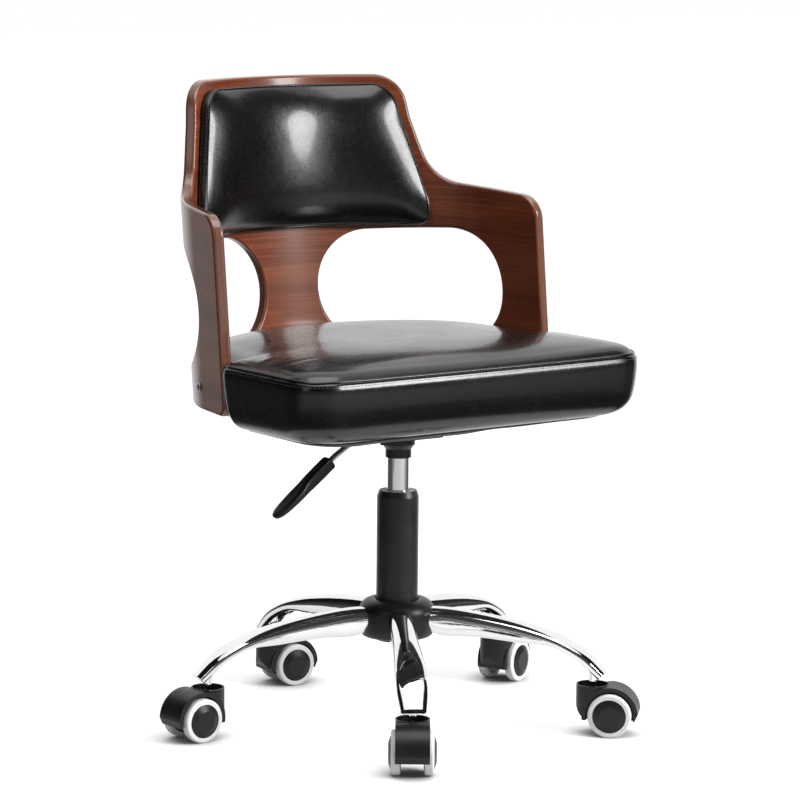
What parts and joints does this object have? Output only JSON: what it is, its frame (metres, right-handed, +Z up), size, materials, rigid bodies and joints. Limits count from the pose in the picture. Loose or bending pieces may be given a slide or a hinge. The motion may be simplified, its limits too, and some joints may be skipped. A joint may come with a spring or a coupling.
{
  "type": "office chair",
  "caption": "Low-backed swivel office chair: bent veneer shell with arms and oval openings, black cushions, gas lift, chrome star base on twin-wheel casters.",
  "frame": {"origin": "on the floor, under the axis of the column", "axes": "+Z up, the sitter faces -Y, +X to the sitter's left"},
  "size_m": [0.5704, 0.5341, 0.759],
  "materials": {
    "chrome": "polished",
    "steel": "plain zinc finish",
    "black_plastic": "moulded, satin",
    "black_metal": "black powder coat, satin",
    "bush_plastic": "smooth",
    "pale_wood": "raw plywood",
    "veneer": "red brown veneer with horizontal grain under gloss lacquer",
    "black_hide": "smooth coated hide with a soft gloss",
    "black_cloth": "thin cloth",
    "white_tread": "smooth"
  },
  "bodies": {
    "base": {"leg_1": "chrome", "leg_2": "chrome", "leg_3": "chrome", "leg_4": "chrome", "leg_5": "chrome", "hub_ring": "steel", "hub_cover": "black_plastic", "caster_stems": "chrome", "column_tube": "black_metal", "column_bush": "bush_plastic", "thrust_bearing": "steel"},
    "spindle": {"piston_rod": "steel", "rod_clip": "steel"},
    "seat": {"gas_cylinder": "chrome", "seat_plate": "black_metal", "plate_bolts": "steel", "tee_nuts": "steel", "lever_pin": "steel", "seat_board": "pale_wood", "seat_battens": "pale_wood", "seat_cushion": "black_hide", "dust_cover": "black_cloth", "shell": "veneer", "shell_screws": "steel", "back_cushion": "black_hide", "back_board": "pale_wood", "back_screws": "steel"},
    "lever": {"lever_rod": "chrome", "lever_handle": "black_plastic"},
    "valve": {"valve_pin": "steel"},
    "caster_1": {"caster_1_hood": "black_plastic", "caster_1_axle": "steel"},
    "caster_1_wheel_a": {"caster_1_tread_a": "white_tread", "caster_1_disc_a": "black_plastic"},
    "caster_1_wheel_b": {"caster_1_tread_b": "white_tread", "caster_1_disc_b": "black_plastic"},
    "caster_2": {"caster_2_hood": "black_plastic", "caster_2_axle": "steel"},
    "caster_2_wheel_a": {"caster_2_tread_a": "white_tread", "caster_2_disc_a": "black_plastic"},
    "caster_2_wheel_b": {"caster_2_tread_b": "white_tread", "caster_2_disc_b": "black_plastic"},
    "caster_3": {"caster_3_hood": "black_plastic", "caster_3_axle": "steel"},
    "caster_3_wheel_a": {"caster_3_tread_a": "white_tread", "caster_3_disc_a": "black_plastic"},
    "caster_3_wheel_b": {"caster_3_tread_b": "white_tread", "caster_3_disc_b": "black_plastic"},
    "caster_4": {"caster_4_hood": "black_plastic", "caster_4_axle": "steel"},
    "caster_4_wheel_a": {"caster_4_tread_a": "white_tread", "caster_4_disc_a": "black_plastic"},
    "caster_4_wheel_b": {"caster_4_tread_b": "white_tread", "caster_4_disc_b": "black_plastic"},
    "caster_5": {"caster_5_hood": "black_plastic", "caster_5_axle": "steel"},
    "caster_5_wheel_a": {"caster_5_tread_a": "white_tread", "caster_5_disc_a": "black_plastic"},
    "caster_5_wheel_b": {"caster_5_tread_b": "white_tread", "caster_5_disc_b": "black_plastic"}
  },
  "joints": [
    {"name": "chair_swivel", "type": "hinge", "parent": "base", "child": "spindle", "pos_m": [0, 0, 0.1], "axis": [0, 0, 1], "continuous": true},
    {"name": "seat_lift", "type": "slide", "parent": "spindle", "child": "seat", "axis": [0, 0, 1], "range_m": [-0.035, 0.065]},
    {"name": "lever_lift", "type": "hinge", "parent": "seat", "child": "lever", "pos_m": [-0.045, -0.03, 0.352], "axis": [0, 1, 0], "range_deg": [0, 6], "stiffness_Nm_per_rad": 2},
    {"name": "valve_press", "type": "slide", "parent": "seat", "child": "valve", "axis": [0, 0, -1], "range_m": [0, 0.005]},
    {"name": "caster_1_swivel", "type": "hinge", "parent": "base", "child": "caster_1", "pos_m": [-0.12504, -0.20485, 0.05], "axis": [0, 0, 1], "continuous": true},
    {"name": "caster_1_roll_a", "type": "hinge", "parent": "caster_1", "child": "caster_1_wheel_a", "pos_m": [-0.13797, -0.22265, 0.026], "axis": [0.809, -0.5878, 0], "continuous": true},
    {"name": "caster_1_roll_b", "type": "hinge", "parent": "caster_1", "child": "caster_1_wheel_b", "pos_m": [-0.13797, -0.22265, 0.026], "axis": [0.809, -0.5878, 0], "continuous": true},
    {"name": "caster_2_swivel", "type": "hinge", "parent": "base", "child": "caster_2", "pos_m": [0.15619, -0.18222, 0.05], "axis": [0, 0, 1], "continuous": true},
    {"name": "caster_2_roll_a", "type": "hinge", "parent": "caster_2", "child": "caster_2_wheel_a", "pos_m": [0.1719, -0.19762, 0.026], "axis": [0.6997, 0.7145, 0], "continuous": true},
    {"name": "caster_2_roll_b", "type": "hinge", "parent": "caster_2", "child": "caster_2_wheel_b", "pos_m": [0.1719, -0.19762, 0.026], "axis": [0.6997, 0.7145, 0], "continuous": true},
    {"name": "caster_3_swivel", "type": "hinge", "parent": "base", "child": "caster_3", "pos_m": [0.22157, 0.09223, 0.05], "axis": [0, 0, 1], "continuous": true},
    {"name": "caster_3_roll_a", "type": "hinge", "parent": "caster_3", "child": "caster_3_wheel_a", "pos_m": [0.24167, 0.10118, 0.026], "axis": [-0.4067, 0.9135, 0], "continuous": true},
    {"name": "caster_3_roll_b", "type": "hinge", "parent": "caster_3", "child": "caster_3_wheel_b", "pos_m": [0.24167, 0.10118, 0.026], "axis": [-0.4067, 0.9135, 0], "continuous": true},
    {"name": "caster_4_swivel", "type": "hinge", "parent": "base", "child": "caster_4", "pos_m": [-0.01925, 0.23923, 0.05], "axis": [0, 0, 1], "continuous": true},
    {"name": "caster_4_roll_a", "type": "hinge", "parent": "caster_4", "child": "caster_4_wheel_a", "pos_m": [0.0027, 0.23777, 0.026], "axis": [0.0663, 0.9978, 0], "continuous": true},
    {"name": "caster_4_roll_b", "type": "hinge", "parent": "caster_4", "child": "caster_4_wheel_b", "pos_m": [0.0027, 0.23777, 0.026], "axis": [0.0663, 0.9978, 0], "continuous": true},
    {"name": "caster_5_swivel", "type": "hinge", "parent": "base", "child": "caster_5", "pos_m": [-0.23347, 0.05562, 0.05], "axis": [0, 0, 1], "continuous": true},
    {"name": "caster_5_roll_a", "type": "hinge", "parent": "caster_5", "child": "caster_5_wheel_a", "pos_m": [-0.25542, 0.05416, 0.026], "axis": [0.0663, -0.9978, 0], "continuous": true},
    {"name": "caster_5_roll_b", "type": "hinge", "parent": "caster_5", "child": "caster_5_wheel_b", "pos_m": [-0.25542, 0.05416, 0.026], "axis": [0.0663, -0.9978, 0], "continuous": true}
  ],
  "couplings": [
    {"joint": "valve_press", "follows": "lever_lift", "m_per_rad": 0.045}
  ]
}
